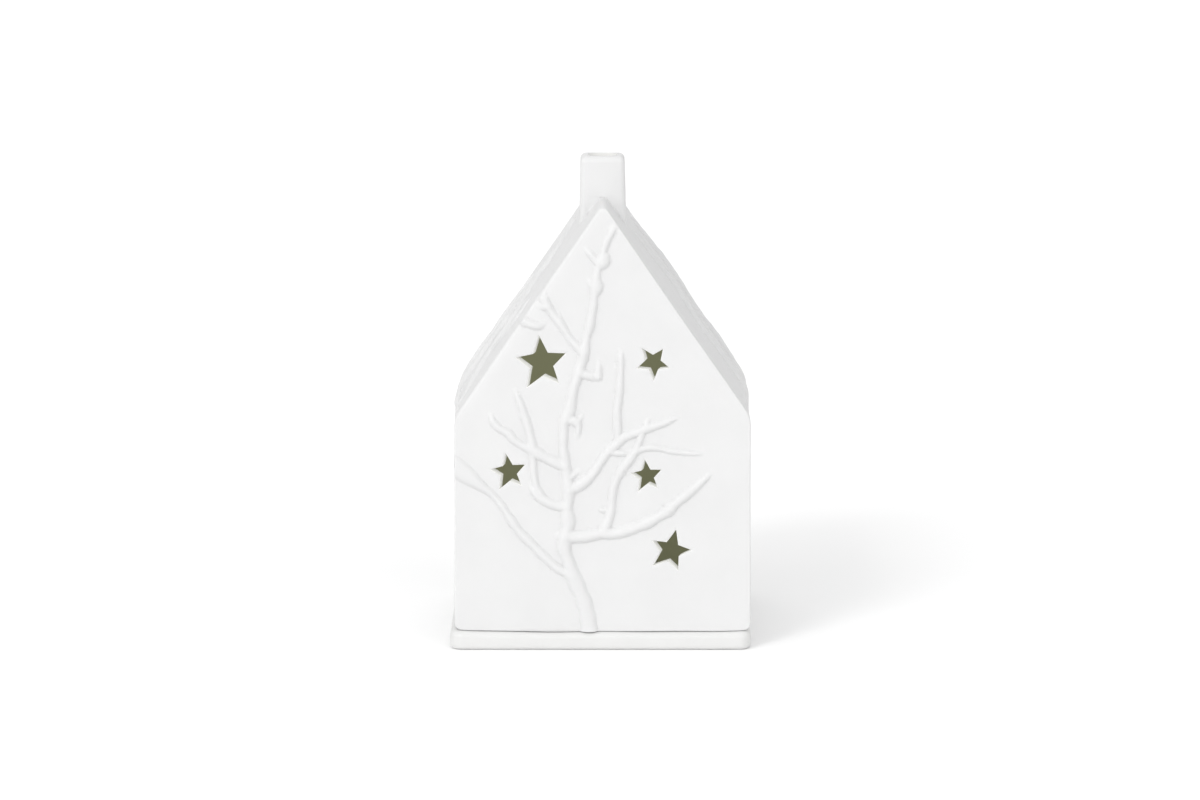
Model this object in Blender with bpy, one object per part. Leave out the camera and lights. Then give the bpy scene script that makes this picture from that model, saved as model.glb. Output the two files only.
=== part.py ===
# Tealight holder: a hollow porcelain house that stands loose on a porcelain tray,
# with a standard tealight on the tray inside it.
#
# Frame: metres, +Z up, the front gable faces -Y, the origin is under the middle of the tray.

import math

import bmesh
import bpy
from mathutils import Matrix, Vector

MM = 0.001
GAP = 0.3 * MM  # left between pieces that rest on or fill each other

# House shell
HOUSE_WIDTH = 95.0 * MM  # over the side walls at the bottom
HOUSE_DEPTH = 87.0 * MM
WALL_HEIGHT = 69.6 * MM  # bottom edge to eaves
ROOF_RISE = 68.6 * MM  # eaves to the ridge, before rounding
WALL_LEAN = 0.35 * MM  # how far each side wall leans in on its way to the eaves
WALL = 3.0 * MM
HOUSE_SHIFT = 0.7 * MM  # it stands loose, a little right of the tray's middle
EAVE_ROUND = 2.4 * MM  # tangent lengths of the lengthwise edges' rounding
RIDGE_ROUND = 3.4 * MM
FOOT_ROUND = 2.0 * MM
GABLE_ROUND = 1.3 * MM  # edges of the two gable walls

# Chimney
CHIMNEY_BASE = 15.3 * MM  # side where it leaves the ridge
CHIMNEY_TOP = 14.3 * MM
CHIMNEY_RISE = 11.6 * MM  # above the unrounded ridge
CHIMNEY_BACK = 28.0 * MM  # from the front wall's face to the chimney's
CHIMNEY_ROUND = 1.9 * MM
FLUE_SIDE = 9.6 * MM
FLUE_CORNER = 3.0 * MM

# Tray
TRAY_MARGIN_SIDE = 0.85 * MM  # beyond the house's bottom edge
TRAY_MARGIN_ENDS = 1.5 * MM
TRAY_THICKNESS = 5.7 * MM
TRAY_EDGE_RADIUS = 2.5 * MM
TRAY_CORNER_RADIUS = 4.0 * MM
SEAT_DEPTH = 2.0 * MM
SEAT_PLAY = 1.0 * MM  # round the tealight, at the radius

# Tealight
CUP_RADIUS = 19.2 * MM  # under the rim
CUP_FOOT_RADIUS = 18.4 * MM
CUP_HEIGHT = 16.0 * MM
CUP_WALL = 0.35 * MM
RIM_WIDTH = 0.6 * MM
WAX_HEIGHT = 12.5 * MM
SUSTAINER_RADIUS = 6.5 * MM
SUSTAINER_PLATE = 0.3 * MM
SUSTAINER_NECK_RADIUS = 1.5 * MM
SUSTAINER_NECK_HEIGHT = 4.5 * MM
WICK_RADIUS = 0.8 * MM
WICK_ABOVE_WAX = 8.0 * MM
WICK_LEAN = 2.2 * MM  # how far its tip bends to one side

# Places that follow from the sizes
EAVE_WIDTH = HOUSE_WIDTH - 2 * WALL_LEAN
SLOPE = ROOF_RISE / (EAVE_WIDTH / 2)
ROOF_LENGTH = math.hypot(ROOF_RISE, EAVE_WIDTH / 2)
HOUSE_FLOOR = TRAY_THICKNESS + GAP
EAVE_Z = HOUSE_FLOOR + WALL_HEIGHT
RIDGE_Z = EAVE_Z + ROOF_RISE
HOUSE_FRONT = -HOUSE_DEPTH / 2
CHIMNEY_Y = HOUSE_FRONT + CHIMNEY_BACK + CHIMNEY_TOP / 2
CUP_FLOOR = TRAY_THICKNESS - SEAT_DEPTH + GAP
WAX_FLOOR = CUP_FLOOR + CUP_WALL + GAP
WICK_FLOOR = WAX_FLOOR + SUSTAINER_PLATE + GAP

# The decoration is drawn for a house of these sizes, in mm, and spreads with the real ones
DRAWN_WIDTH = 95.0
DRAWN_HEIGHT = 138.2  # bottom edge to unrounded ridge
DRAWN_DEPTH = 87.0
DRAWN_ROOF = 83.24  # eaves to ridge along the slope

# Star openings: centre across and up from the house's bottom edge, the reach of
# the tips, and the first tip's direction in degrees.
STARS = [
    (-19.5, 87, 8.3, 95),
    (16, 87.5, 5.3, 127),
    (-30, 52, 5.5, 98),
    (14, 50.5, 5, 97),
    (21.5, 26, 6.5, 76),
]
STAR_TIPS = (1.06, 0.96, 0.97, 1.04, 0.97)  # hand-cut, so the tips reach unevenly
STAR_WAIST = 0.46  # notch radius as a share of the tips'
STAR_LEAN = 0.12  # the openings run a little sideways as they go in

# Twig relief on the front: (across, up from the bottom edge, width)
FRONT_TWIGS = [
    # trunk
    [(-4.2, 0.5, 4.2), (-4.9, 5, 4.2), (-6.1, 10, 3.9), (-8.3, 15, 4.1), (-10.4, 20, 3.5),
     (-12, 27, 3.2), (-11.5, 31, 3.6), (-11.1, 36, 3.6), (-11, 45, 3.4), (-11.3, 50, 3.0),
     (-12.3, 56, 2.7), (-12.5, 65, 2.6), (-10.6, 71.8, 3.5), (-8.8, 79.7, 2.7), (-6.6, 86.7, 2.8),
     (-5.1, 94.7, 2.5), (-3, 104.6, 2.4), (-2.1, 111.6, 3.6), (-1.9, 114.6, 2.3),
     (0.2, 120, 3.4), (0.1, 122.5, 2.4), (1.3, 126.5, 2.2), (3.2, 130.3, 1.8)],
    # long low branch that leaves over the left corner
    [(-10, 17.5, 3.0), (-15, 21, 2.8), (-19, 24.8, 2.5), (-27, 33, 2.4), (-32.5, 41.5, 2.3),
     (-35.5, 45, 2.3), (-39, 47.5, 2.6), (-43, 51, 4.0), (-45.6, 53.2, 5.0)],
    # low right bough and the branch that rises from it
    [(-11, 31, 3.6), (-6, 31, 3.4), (4, 32.1, 3.1), (13, 35, 3.0), (20.5, 39.2, 3.0),
     (27, 44.8, 2.6), (34, 51.3, 1.6)],
    [(0.5, 33, 2.8), (2.7, 40, 2.5), (3.8, 48, 2.5), (7.8, 55, 2.3), (11, 60, 2.0),
     (14.5, 69, 1.4)],
    [(9.6, 58, 2.0), (13, 59.6, 2.0), (18.5, 59.6, 1.8), (26, 58.4, 1.5), (31, 58.1, 1.2)],
    # middle right bough
    [(-11, 45.8, 3.0), (-6.5, 48.4, 2.8), (-3, 51.8, 2.7), (1.3, 58.3, 2.5), (7, 63.5, 2.4),
     (14.5, 66.4, 2.2), (23.8, 69.8, 1.4)],
    [(4.7, 62.5, 2.2), (4.6, 72, 2.3), (5.5, 82, 2.0), (5.7, 91.5, 1.4)],
    # left boughs
    [(-12, 53.9, 3.0), (-16, 55.7, 3.0), (-22.5, 59.2, 2.8), (-26, 61, 2.3), (-30, 64.9, 2.2),
     (-34.8, 68.6, 1.8), (-35.6, 71, 1.4)],
    [(-22.3, 59.6, 2.4), (-23.3, 65, 2.2), (-26, 74, 2.0), (-27.7, 78.5, 1.5)],
    [(-22.2, 58, 2.0), (-21.8, 51, 1.9), (-19.5, 44.7, 1.8), (-18.3, 42.8, 1.8)],
    [(-11.5, 40.6, 2.8), (-15.5, 41.4, 2.7), (-18.5, 42.8, 2.6), (-22.6, 47.8, 1.8)],
    # upper left branch
    [(-5.8, 90, 2.6), (-10.1, 94.9, 2.0), (-13.6, 99.8, 2.2), (-16.3, 103.6, 2.2),
     (-18.2, 106.4, 2.8)],
    # stubs
    [(-6.6, 84.2, 2.4), (-3, 83.2, 2.2), (-0.9, 83.6, 2.0), (-0.9, 86.4, 1.5)],
    [(-11.5, 68.8, 2.4), (-8.3, 68.2, 2.6), (-7.6, 66.2, 1.8)],
    [(-1.8, 119.1, 2.0), (-5.2, 123.5, 1.4)],
]
# Twigs on the left wall and on each roof slope: (back from the front face, up the face, width)
LEFT_WALL_TWIGS = [
    [(1.5, 53.2, 4.4), (9, 55.5, 3.8), (20, 57, 3.0), (34, 61, 2.4), (48, 61, 1.6)],
    [(20, 57, 2.4), (30, 52.5, 2.0), (42, 51, 1.4)],
]
LEFT_ROOF_TWIGS = [
    [(55, 3, 2.8), (58, 11, 3.0), (58, 18, 2.8), (53, 28, 2.8), (57, 33, 2.6), (53, 39, 2.7),
     (50, 52, 2.5), (53, 58, 2.5), (60, 63, 2.4), (62, 70, 2.0)],
    [(24, 8, 2.3), (32, 17, 2.4), (36, 29, 2.2), (47, 40, 2.0), (52, 47, 1.8)],
    [(77, 12, 2.2), (74.5, 20, 2.0), (75, 28, 1.9), (73, 37, 1.4)],
]
RIGHT_ROOF_TWIGS = [
    [(55.5, 3, 2.6), (54, 10, 2.6), (49, 27, 2.5), (53, 35, 2.4), (57.5, 41, 2.3), (54, 49, 2.2),
     (47.5, 57, 2.0), (44.5, 64, 1.5)],
    [(79, 5, 2.2), (83, 14, 2.3), (80.5, 30, 2.2), (83, 39, 2.4), (82.5, 47, 2.4),
     (78, 56, 2.0), (73, 64, 1.5)],
    [(51.5, 18, 1.8), (62, 22, 1.7), (68, 30, 1.6), (69, 40, 1.3)],
]
RELIEF_SHARE = 0.30  # how far a twig stands out, as a share of its width
RELIEF_LEAST = 0.2 * MM
RELIEF_MOST = 1.2 * MM


def clear_scene():
    for ob in list(bpy.data.objects):
        bpy.data.objects.remove(ob, do_unlink=True)


def make_material(name, colour, roughness, metallic=0.0):
    mat = bpy.data.materials.new(name)
    mat.use_nodes = True
    shader = mat.node_tree.nodes["Principled BSDF"]
    shader.inputs["Base Color"].default_value = (*colour, 1.0)
    shader.inputs["Roughness"].default_value = roughness
    shader.inputs["Metallic"].default_value = metallic
    mat.diffuse_color = (*colour, 1.0)
    return mat


def make_object(name, bm, material=None, smooth=True):
    bmesh.ops.recalc_face_normals(bm, faces=bm.faces[:])
    mesh = bpy.data.meshes.new(name)
    bm.to_mesh(mesh)
    bm.free()
    if smooth:
        mesh.shade_smooth()
        mesh.set_sharp_from_angle(angle=math.radians(35))
    ob = bpy.data.objects.new(name, mesh)
    bpy.context.collection.objects.link(ob)
    if material:
        mesh.materials.append(material)
    return ob


def make_tool(name, bm):
    """A helper that is only added to or cut from another object."""
    tool = make_object(name, bm, smooth=False)
    tool.hide_render = True
    tool.display_type = "WIRE"
    return tool


def combine(ob, tool, operation):
    boolean = ob.modifiers.new(tool.name, "BOOLEAN")
    boolean.operation = operation
    boolean.solver = "EXACT"
    boolean.use_self = operation == "UNION"
    boolean.object = tool


def edges_where(bm, test):
    return [edge for edge in bm.edges if test(*(vert.co for vert in edge.verts))]


def bevel_edges(bm, edges, radius, segments):
    bmesh.ops.bevel(bm, geom=edges, offset=radius, offset_type="OFFSET", segments=segments,
                    profile=0.5, affect="EDGES", material=-1, clamp_overlap=True)


def extrude_profile(outline, front, back):
    """Prism from an outline of (x, z) points, between two depths."""
    bm = bmesh.new()
    verts = [bm.verts.new((x, front, z)) for x, z in outline]
    face = bm.faces.new(verts)
    grown = bmesh.ops.extrude_face_region(bm, geom=[face])
    moved = [item for item in grown["geom"] if isinstance(item, bmesh.types.BMVert)]
    bmesh.ops.translate(bm, vec=(0, back - front, 0), verts=moved)
    bmesh.ops.recalc_face_normals(bm, faces=bm.faces[:])
    return bm


def house_outline(inset, bottom):
    """Gable outline, moved inward by the inset, its lower edge at the given height."""
    drop = inset * math.hypot(1, SLOPE)
    lean = WALL_LEAN / WALL_HEIGHT
    half_low = HOUSE_WIDTH / 2 - inset - (bottom - HOUSE_FLOOR) * lean
    half_eave = EAVE_WIDTH / 2 - inset
    eave = EAVE_Z + inset * SLOPE - drop
    points = [(-half_low, bottom), (half_low, bottom), (half_eave, eave), (0, RIDGE_Z - drop),
              (-half_eave, eave)]
    return [(x + HOUSE_SHIFT, z) for x, z in points]


def house_body():
    bm = extrude_profile(house_outline(0, HOUSE_FLOOR), HOUSE_FRONT, HOUSE_FRONT + HOUSE_DEPTH)
    lengthwise = edges_where(bm, lambda a, b: abs(a.y - b.y) > HOUSE_DEPTH / 2)
    groups = []
    for height, length in ((EAVE_Z, EAVE_ROUND), (RIDGE_Z, RIDGE_ROUND),
                           (HOUSE_FLOOR, FOOT_ROUND)):
        groups.append((length, [e for e in lengthwise if abs(e.verts[0].co.z - height) < MM]))
    for length, edges in groups:
        bevel_edges(bm, edges, length, 4)
    low = HOUSE_FLOOR + 0.01 * MM
    rim = edges_where(bm, lambda a, b: abs(a.y - b.y) < 0.01 * MM and max(a.z, b.z) > low)
    bevel_edges(bm, rim, GABLE_ROUND, 3)
    return bm


def square_column(side_low, side_high, low, high, round_top, round_upright=0):
    bm = bmesh.new()
    made = bmesh.ops.create_cube(bm, size=1.0)
    for vert in made["verts"]:
        side = side_high if vert.co.z > 0 else side_low
        vert.co.x *= side
        vert.co.y *= side
        vert.co.z = high if vert.co.z > 0 else low
    if round_upright:
        upright = edges_where(bm, lambda a, b: abs(a.z - b.z) > MM)
        bevel_edges(bm, upright, round_upright, 4)
    if round_top:
        upper = edges_where(bm, lambda a, b: max(a.z, b.z) > high - 0.01 * MM)
        bevel_edges(bm, upper, round_top, 3)
    bmesh.ops.translate(bm, vec=(HOUSE_SHIFT, CHIMNEY_Y, 0), verts=bm.verts[:])
    return bm


def chimney_tool():
    root = RIDGE_Z - CHIMNEY_BASE / 2 * SLOPE - WALL
    high = RIDGE_Z + CHIMNEY_RISE
    return make_tool("chimney_block", square_column(CHIMNEY_BASE, CHIMNEY_TOP, root, high,
                                                    CHIMNEY_ROUND))


def flue_tool():
    top = RIDGE_Z + CHIMNEY_RISE + 2 * MM
    low = RIDGE_Z - CHIMNEY_BASE * SLOPE
    return make_tool("flue_space", square_column(FLUE_SIDE, FLUE_SIDE, low, top, 0,
                                                 FLUE_CORNER))


def cavity_tool():
    outline = house_outline(WALL, HOUSE_FLOOR - 2 * MM)
    bm = extrude_profile(outline, HOUSE_FRONT + WALL, HOUSE_FRONT + HOUSE_DEPTH - WALL)
    return make_tool("cavity_space", bm)


def star_outline(reach, first):
    """Tips and the notches between them, as offsets from the star's centre in mm."""
    outline = []
    step = 2 * math.pi / len(STAR_TIPS)
    for index, share in enumerate(STAR_TIPS):
        angle = math.radians(first) - index * step
        next_share = STAR_TIPS[(index + 1) % len(STAR_TIPS)]
        depth = STAR_WAIST * (share + next_share) / 2
        outline.append((reach * share * math.cos(angle), reach * share * math.sin(angle)))
        outline.append((reach * depth * math.cos(angle - step / 2),
                        reach * depth * math.sin(angle - step / 2)))
    return outline


def stars_tool():
    bm = bmesh.new()
    front = HOUSE_FRONT - 3 * MM
    back = HOUSE_FRONT + 2 * WALL
    for across, up, reach, first in STARS:
        middle = HOUSE_SHIFT + across * HOUSE_WIDTH / DRAWN_WIDTH
        height = HOUSE_FLOOR + up * (WALL_HEIGHT + ROOF_RISE) / DRAWN_HEIGHT
        verts = [bm.verts.new((middle + x * MM, front, height + z * MM))
                 for x, z in star_outline(reach, first)]
        grown = bmesh.ops.extrude_face_region(bm, geom=[bm.faces.new(verts)])
        moved = [item for item in grown["geom"] if isinstance(item, bmesh.types.BMVert)]
        lean = STAR_LEAN * (back - front)
        bmesh.ops.translate(bm, vec=(lean, back - front, 0), verts=moved)
        bmesh.ops.translate(bm, vec=(-STAR_LEAN * (HOUSE_FRONT - front), 0, 0),
                            verts=verts + moved)
    return make_tool("star_openings", bm)


def add_twig(bm, route, face, spread):
    """Half-sunk tapering rod along a route; face maps (across, out, up) into the scene."""
    points = [Vector((across * spread[0], 0, up * spread[1])) for across, up, width in route]
    rings = []
    for index, (across, up, width) in enumerate(route):
        before = points[max(index - 1, 0)]
        after = points[min(index + 1, len(points) - 1)]
        along = (after - before).normalized()
        out = Vector((0, 1, 0))
        side = along.cross(out)
        half = width * MM / 2
        height = min(RELIEF_LEAST + width * MM * RELIEF_SHARE, RELIEF_MOST)
        turn = Matrix((side * half, out * height, along)).transposed().to_4x4()
        place = face @ Matrix.Translation(points[index]) @ turn
        ring = bmesh.ops.create_circle(bm, segments=6, radius=1.0, matrix=place)
        rings.append(list({edge for vert in ring["verts"] for edge in vert.link_edges}))
    for first, second in zip(rings, rings[1:]):
        bmesh.ops.bridge_loops(bm, edges=first + second)
    ends = [edge for edge in rings[0] + rings[-1] if edge.is_boundary]
    bmesh.ops.holes_fill(bm, edges=ends, sides=0)


def twig_tool(name, routes, face, spread):
    bm = bmesh.new()
    for route in routes:
        add_twig(bm, route, face, spread)
    return make_tool(name, bm)


def face_matrix(origin, across, out, up):
    columns = Matrix((Vector(across), Vector(out), Vector(up))).transposed().to_4x4()
    return Matrix.Translation(Vector(origin)) @ columns


def make_house(material):
    house = make_object("house", house_body(), material)
    combine(house, chimney_tool(), "UNION")
    front = face_matrix((HOUSE_SHIFT, HOUSE_FRONT, HOUSE_FLOOR), (1, 0, 0), (0, -1, 0), (0, 0, 1))
    rise = (WALL_HEIGHT + ROOF_RISE) / DRAWN_HEIGHT
    combine(house, twig_tool("front_twigs", FRONT_TWIGS, front,
                             (HOUSE_WIDTH / DRAWN_WIDTH, rise)), "UNION")
    lean = Vector((WALL_LEAN, 0, WALL_HEIGHT)).normalized()
    back = HOUSE_DEPTH / DRAWN_DEPTH
    wall_foot = (HOUSE_SHIFT - HOUSE_WIDTH / 2, HOUSE_FRONT, HOUSE_FLOOR)
    left = face_matrix(wall_foot, (0, 1, 0), (-lean.z, 0, lean.x), lean)
    combine(house, twig_tool("left_wall_twigs", LEFT_WALL_TWIGS, left, (back, rise)), "UNION")
    for side, name, routes in ((-1, "left_roof_twigs", LEFT_ROOF_TWIGS),
                               (1, "right_roof_twigs", RIGHT_ROOF_TWIGS)):
        upslope = Vector((-side * EAVE_WIDTH / 2, 0, ROOF_RISE)).normalized()
        out = Vector((side * upslope.z, 0, abs(upslope.x)))
        eave = (HOUSE_SHIFT + side * EAVE_WIDTH / 2, HOUSE_FRONT, EAVE_Z)
        combine(house, twig_tool(name, routes, face_matrix(eave, (0, 1, 0), out, upslope),
                                 (back, ROOF_LENGTH / DRAWN_ROOF)), "UNION")
    combine(house, cavity_tool(), "DIFFERENCE")
    combine(house, flue_tool(), "DIFFERENCE")
    combine(house, stars_tool(), "DIFFERENCE")
    return house


def turned(name, profile, material, segments=48):
    """Solid of revolution from (radius, height) points that start and end on the axis
    or close on themselves."""
    bm = bmesh.new()
    verts = [bm.verts.new((radius, 0, height)) for radius, height in profile]
    edges = [bm.edges.new(pair) for pair in zip(verts, verts[1:])]
    if profile[0][0] > 0:
        edges.append(bm.edges.new((verts[-1], verts[0])))
    bmesh.ops.spin(bm, geom=verts + edges, cent=(0, 0, 0), axis=(0, 0, 1),
                   angle=2 * math.pi, steps=segments, use_merge=True)
    bmesh.ops.remove_doubles(bm, verts=bm.verts[:], dist=0.001 * MM)
    return make_object(name, bm, material)


def make_tray(material):
    width = HOUSE_WIDTH + 2 * TRAY_MARGIN_SIDE
    depth = HOUSE_DEPTH + 2 * TRAY_MARGIN_ENDS
    bm = bmesh.new()
    bmesh.ops.create_cube(bm, size=1.0)
    for vert in bm.verts:
        vert.co = Vector((vert.co.x * width, vert.co.y * depth,
                          (vert.co.z + 0.5) * TRAY_THICKNESS))
    uprights = edges_where(bm, lambda a, b: abs(a.z - b.z) > TRAY_THICKNESS / 2)
    bevel_edges(bm, uprights, TRAY_CORNER_RADIUS, 5)
    flat = edges_where(bm, lambda a, b: abs(a.z - b.z) < 0.01 * MM)
    bevel_edges(bm, flat, min(TRAY_EDGE_RADIUS, TRAY_THICKNESS * 0.45), 4)
    tray = make_object("base_tray", bm, material)
    seat = bmesh.new()
    lift = TRAY_THICKNESS - SEAT_DEPTH
    bmesh.ops.create_cone(seat, cap_ends=True, segments=48, depth=2 * SEAT_DEPTH,
                          radius1=CUP_RADIUS + RIM_WIDTH + SEAT_PLAY,
                          radius2=CUP_RADIUS + RIM_WIDTH + SEAT_PLAY,
                          matrix=Matrix.Translation((0, 0, lift + SEAT_DEPTH)))
    combine(tray, make_tool("seat_space", seat), "DIFFERENCE")
    return tray


def make_cup(material):
    top = CUP_FLOOR + CUP_HEIGHT
    rim = CUP_RADIUS + RIM_WIDTH
    profile = [
        (0, CUP_FLOOR),
        (CUP_FOOT_RADIUS, CUP_FLOOR),
        (CUP_RADIUS, top - 1.2 * MM),
        (rim, top - 0.9 * MM),
        (rim, top - 0.2 * MM),
        (CUP_RADIUS + RIM_WIDTH / 2, top),
        (CUP_RADIUS - CUP_WALL, top - 0.2 * MM),
        (CUP_FOOT_RADIUS - CUP_WALL, CUP_FLOOR + CUP_WALL),
        (0, CUP_FLOOR + CUP_WALL),
    ]
    return turned("tealight_cup", profile, material)


def make_wax(material):
    """Wax body with a pocket for the sustainer plate and a bore for its neck and the wick."""
    foot = CUP_FOOT_RADIUS - CUP_WALL - GAP
    share = WAX_HEIGHT / (CUP_HEIGHT - 1.2 * MM - CUP_WALL)
    top_radius = foot + (CUP_RADIUS - CUP_FOOT_RADIUS) * share
    plate = SUSTAINER_RADIUS + GAP
    plate_top = WAX_FLOOR + SUSTAINER_PLATE + GAP
    neck = SUSTAINER_NECK_RADIUS + GAP
    neck_top = WAX_FLOOR + SUSTAINER_NECK_HEIGHT + GAP
    bore = WICK_RADIUS + GAP
    profile = [
        (plate, WAX_FLOOR),
        (foot, WAX_FLOOR),
        (top_radius, WAX_FLOOR + WAX_HEIGHT),
        (bore, WAX_FLOOR + WAX_HEIGHT - 0.3 * MM),
        (bore, neck_top),
        (neck, neck_top),
        (neck, plate_top),
        (plate, plate_top),
    ]
    return turned("tealight_wax", profile, material)


def make_sustainer(material):
    neck_bore = WICK_RADIUS + GAP
    profile = [
        (0, WAX_FLOOR),
        (SUSTAINER_RADIUS, WAX_FLOOR),
        (SUSTAINER_RADIUS, WAX_FLOOR + SUSTAINER_PLATE),
        (SUSTAINER_NECK_RADIUS, WAX_FLOOR + SUSTAINER_PLATE),
        (SUSTAINER_NECK_RADIUS, WAX_FLOOR + SUSTAINER_NECK_HEIGHT),
        (neck_bore, WAX_FLOOR + SUSTAINER_NECK_HEIGHT),
        (neck_bore, WAX_FLOOR + SUSTAINER_PLATE),
        (0, WAX_FLOOR + SUSTAINER_PLATE),
    ]
    return turned("wick_sustainer", profile, material, segments=24)


def make_wick(material):
    """Cotton wick: upright through the wax, its tip bent over."""
    surface = WAX_FLOOR + WAX_HEIGHT
    heights = [WICK_FLOOR, surface, surface + 0.45 * WICK_ABOVE_WAX,
               surface + 0.8 * WICK_ABOVE_WAX, surface + WICK_ABOVE_WAX]
    leans = [0, 0, 0.15 * WICK_LEAN, 0.55 * WICK_LEAN, WICK_LEAN]
    bm = bmesh.new()
    rings = []
    for height, lean in zip(heights, leans):
        ring = bmesh.ops.create_circle(bm, segments=10, radius=WICK_RADIUS,
                                       matrix=Matrix.Translation((lean, 0, height)))
        rings.append(list({edge for vert in ring["verts"] for edge in vert.link_edges}))
    for first, second in zip(rings, rings[1:]):
        bmesh.ops.bridge_loops(bm, edges=first + second)
    ends = [edge for edge in rings[0] + rings[-1] if edge.is_boundary]
    bmesh.ops.holes_fill(bm, edges=ends, sides=0)
    return make_object("wick", bm, material)


def main():
    clear_scene()
    porcelain = make_material("bisque_porcelain", (0.86, 0.86, 0.85), 0.65)
    tray_porcelain = make_material("tray_porcelain", (0.86, 0.85, 0.83), 0.6)
    aluminium = make_material("cup_aluminium", (0.78, 0.79, 0.80), 0.3, 1.0)
    wax = make_material("white_wax", (0.88, 0.87, 0.83), 0.4)
    tin = make_material("tinned_steel", (0.62, 0.62, 0.60), 0.35, 1.0)
    cotton = make_material("cotton_wick", (0.80, 0.78, 0.72), 0.9)
    make_house(porcelain)
    make_tray(tray_porcelain)
    make_cup(aluminium)
    make_wax(wax)
    make_sustainer(tin)
    make_wick(cotton)


main()
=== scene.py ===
import math

import bmesh
import bpy
import numpy as np
from mathutils import Matrix, Vector, noise


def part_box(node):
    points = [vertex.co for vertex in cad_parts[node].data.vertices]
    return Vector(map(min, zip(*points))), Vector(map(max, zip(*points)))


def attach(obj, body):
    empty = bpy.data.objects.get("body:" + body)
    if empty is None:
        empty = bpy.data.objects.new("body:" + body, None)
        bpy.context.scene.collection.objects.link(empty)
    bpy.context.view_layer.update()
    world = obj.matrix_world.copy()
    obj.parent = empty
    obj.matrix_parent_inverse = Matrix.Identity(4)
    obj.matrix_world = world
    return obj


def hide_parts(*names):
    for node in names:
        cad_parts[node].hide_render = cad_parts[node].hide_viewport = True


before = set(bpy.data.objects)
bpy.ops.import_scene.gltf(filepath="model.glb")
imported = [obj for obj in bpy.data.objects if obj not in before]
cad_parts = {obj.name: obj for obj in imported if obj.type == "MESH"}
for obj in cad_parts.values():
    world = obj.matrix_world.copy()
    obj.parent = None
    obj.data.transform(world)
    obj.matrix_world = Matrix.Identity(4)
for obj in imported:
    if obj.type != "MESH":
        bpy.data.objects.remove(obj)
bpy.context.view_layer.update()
mm = 0.001
noise.seed_set(4)  # without a seed, the waviness of the porcelain differs on every run


def hexColour(code):
    channels = [int(code[i:i + 2], 16) / 255 for i in (1, 3, 5)]
    linear = [c / 12.92 if c <= 0.04045 else ((c + 0.055) / 1.055) ** 2.4 for c in channels]
    return (*linear, 1.0)


def addNode(tree, kind, settings=None, links=None):
    node = tree.nodes.new("ShaderNode" + kind)
    for name, value in (settings or {}).items():
        if isinstance(name, int) or name in node.inputs:
            node.inputs[name].default_value = value
        else:
            setattr(node, name, value)
    for name, socket in (links or {}).items():
        tree.links.new(socket, node.inputs[name])
    return node


def startMaterial(name):
    material = bpy.data.materials.new(name)
    material.use_nodes = True
    tree = material.node_tree
    shader = tree.nodes["Principled BSDF"]
    place = addNode(tree, "TexCoord").outputs["Object"]
    return material, tree, shader, place


def newObject(name, bm, materials):
    mesh = bpy.data.meshes.new(name)
    bm.to_mesh(mesh)
    bm.free()
    for material in materials:
        mesh.materials.append(material)
    piece = bpy.data.objects.new(name, mesh)
    bpy.context.collection.objects.link(piece)
    return piece


def smoothShade(piece, angle):
    piece.data.shade_smooth()
    piece.data.set_sharp_from_angle(angle=math.radians(angle))


def applyModifiers(piece):
    ready = piece.evaluated_get(bpy.context.evaluated_depsgraph_get())
    mesh = bpy.data.meshes.new_from_object(ready)
    piece.modifiers.clear()
    old = piece.data
    piece.data = mesh
    bpy.data.meshes.remove(old)


def combine(piece, tool, operation):
    boolean = piece.modifiers.new("combine", "BOOLEAN")
    boolean.operation = operation
    boolean.solver = "EXACT"
    boolean.material_mode = "TRANSFER"
    boolean.object = tool
    applyModifiers(piece)
    bpy.data.objects.remove(tool, do_unlink=True)


def bevelEdges(bm, edges, length, segments):
    bmesh.ops.bevel(bm, geom=edges, offset=length, offset_type="OFFSET", segments=segments,
                    profile=0.5, affect="EDGES", material=-1, clamp_overlap=True)


def extrudeOutline(points, front, back):
    bm = bmesh.new()
    face = bm.faces.new([bm.verts.new((x, front, z)) for x, z in points])
    grown = bmesh.ops.extrude_face_region(bm, geom=[face])
    moved = [item for item in grown["geom"] if isinstance(item, bmesh.types.BMVert)]
    bmesh.ops.translate(bm, vec=(0, back - front, 0), verts=moved)
    bmesh.ops.recalc_face_normals(bm, faces=bm.faces[:])
    return bm


def sliceFaces(bm, faces, axis, low, high, step):
    # cuts the faces crosswise at an even spacing, working along the axis
    normal = Vector([1.0 if i == axis else 0.0 for i in range(3)])
    count = max(1, round((high - low) / step))
    active = list(faces)
    for index in range(1, count):
        level = low + (high - low) * index / count
        geom = list({item for face in active
                     for item in [face, *face.edges, *face.verts]})
        cut = bmesh.ops.bisect_plane(bm, geom=geom, dist=1e-7, plane_co=normal * level,
                                     plane_no=normal)
        active = [item for item in cut["geom"] if isinstance(item, bmesh.types.BMFace)
                  and item.is_valid and max(v.co[axis] for v in item.verts) > level + 1e-6]
        if not active:
            break


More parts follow.
